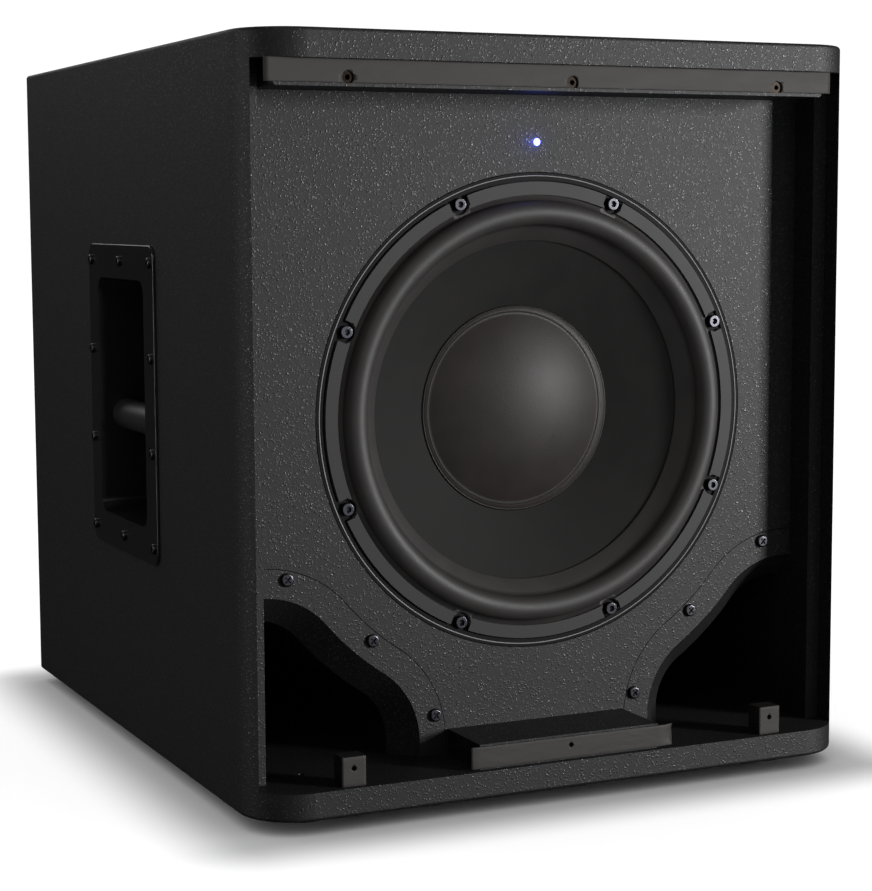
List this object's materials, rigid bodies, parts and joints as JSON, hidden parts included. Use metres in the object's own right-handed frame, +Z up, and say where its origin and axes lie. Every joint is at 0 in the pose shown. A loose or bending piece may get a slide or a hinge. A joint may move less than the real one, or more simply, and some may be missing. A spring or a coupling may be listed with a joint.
{
  "type": "powered subwoofer",
  "caption": "Powered subwoofer: black textured plywood cabinet, long-throw cone driver behind a recessed baffle, two S-shaped corner ports, side carrying handles and a rear amplifier panel.",
  "frame": {"origin": "on the floor under the middle of the cabinet, level with the underside of the feet", "axes": "+Z up, the driver and grille side face -Y, the amplifier side faces +Y"},
  "size_m": [0.446, 0.515, 0.493],
  "materials": {
    "textured_black_paint": "heavy black splatter-textured paint on plywood",
    "bare_plywood": "birch plywood, uncoated inside",
    "duct_plastic": "matt moulded plastic",
    "foam_tape": "smooth closed-cell foam tape",
    "brass_insert": "machined brass, darkened",
    "black_zinc": "black zinc-plated steel",
    "light_lens": "diffused blue light-emitting diode lens",
    "cast_frame": "black powder-coated casting",
    "gasket_foam": "gasket foam",
    "surround_rubber": "satin butyl rubber",
    "cone_paper": "coated black paper",
    "cap_paper": "coated black paper, satin",
    "former_foil": "anodised foil",
    "coil_wire": "enamelled copper wire",
    "spider_cloth": "resin-dipped woven cloth",
    "motor_steel": "zinc-plated mild steel",
    "ferrite": "sintered ferrite, ground faces",
    "terminal_board": "laminate board with tags",
    "lead_braid": "braided copper tinsel",
    "handle_plastic": "satin moulded plastic",
    "handle_grip": "moulded grip over a steel rod",
    "amp_enamel": "satin black enamel on aluminium sheet",
    "sink_anodised": "black anodised extrusion",
    "green_laminate": "solder-masked glass laminate",
    "transformer_tape": "tape-wound toroid",
    "pillar_brass": "turned brass",
    "pot_steel": "tinned steel",
    "shaft_alloy": "turned alloy",
    "knob_plastic": "fine-textured moulded plastic",
    "switch_plastic": "glossy moulded plastic",
    "socket_plastic": "glass-filled moulded plastic",
    "wadding": "polyester wadding",
    "foot_rubber": "moulded rubber"
  },
  "bodies": {
    "cabinet": {"top_panel": "textured_black_paint", "bottom_panel": "textured_black_paint", "side_panel_left": "textured_black_paint", "side_panel_right": "textured_black_paint", "back_panel": "textured_black_paint", "front_baffle": "textured_black_paint", "port_trim_left": "textured_black_paint", "port_trim_right": "textured_black_paint", "grille_rail": "textured_black_paint", "grille_tabs": "textured_black_paint", "grille_block": "textured_black_paint", "rail_tape": "foam_tape", "lower_tapes": "foam_tape", "grille_inserts": "brass_insert", "port_duct_left": "duct_plastic", "port_duct_right": "duct_plastic", "port_screws": "black_zinc", "status_light": "light_lens", "driver_basket": "cast_frame", "driver_gasket": "gasket_foam", "trim_gasket": "gasket_foam", "surround": "surround_rubber", "driver_screws": "black_zinc", "spider": "spider_cloth", "top_plate": "motor_steel", "magnet": "ferrite", "yoke": "motor_steel", "driver_terminals": "terminal_board", "tinsel_leads": "lead_braid", "handle_cup_left": "handle_plastic", "handle_cup_right": "handle_plastic", "handle_bar_left": "handle_grip", "handle_bar_right": "handle_grip", "handle_screws": "black_zinc", "amp_panel": "amp_enamel", "heat_sink": "sink_anodised", "amp_screws": "black_zinc", "circuit_board": "green_laminate", "transformer": "transformer_tape", "board_pillars": "pillar_brass", "control_pots": "pot_steel", "polarity_switch": "socket_plastic", "rocker_housing": "socket_plastic", "mains_inlet": "socket_plastic", "inlet_blades": "pillar_brass", "signal_sockets": "socket_plastic", "cabinet_brace": "bare_plywood", "damping_wadding": "wadding", "rubber_feet": "foot_rubber", "foot_screws": "black_zinc"},
    "moving_cone": {"cone": "cone_paper", "dust_cap": "cap_paper", "voice_coil_former": "former_foil", "voice_coil_winding": "coil_wire"},
    "level_control": {"level_knob": "knob_plastic", "level_shaft": "shaft_alloy"},
    "crossover_control": {"crossover_knob": "knob_plastic", "crossover_shaft": "shaft_alloy"},
    "polarity_button": {"polarity_button": "switch_plastic"},
    "power_rocker": {"power_rocker": "switch_plastic"}
  },
  "joints": [
    {"name": "cone_travel", "type": "slide", "parent": "cabinet", "child": "moving_cone", "axis": [0, -1, 0], "range_m": [-0.01, 0.01], "stiffness_N_per_m": 5000, "deforming": ["surround", "spider", "tinsel_leads"]},
    {"name": "level_turn", "type": "hinge", "parent": "cabinet", "child": "level_control", "pos_m": [0.084, 0.2385, 0.215], "axis": [0, 1, 0], "range_deg": [-150, 150]},
    {"name": "crossover_turn", "type": "hinge", "parent": "cabinet", "child": "crossover_control", "pos_m": [0.034, 0.2385, 0.215], "axis": [0, 1, 0], "range_deg": [-150, 150]},
    {"name": "polarity_press", "type": "slide", "parent": "cabinet", "child": "polarity_button", "axis": [0, -1, 0], "range_m": [0, 0.0025], "stiffness_N_per_m": 300},
    {"name": "power_rock", "type": "hinge", "parent": "cabinet", "child": "power_rocker", "pos_m": [-0.084, 0.2365, 0.199], "axis": [1, 0, 0], "range_deg": [0, 16]}
  ]
}
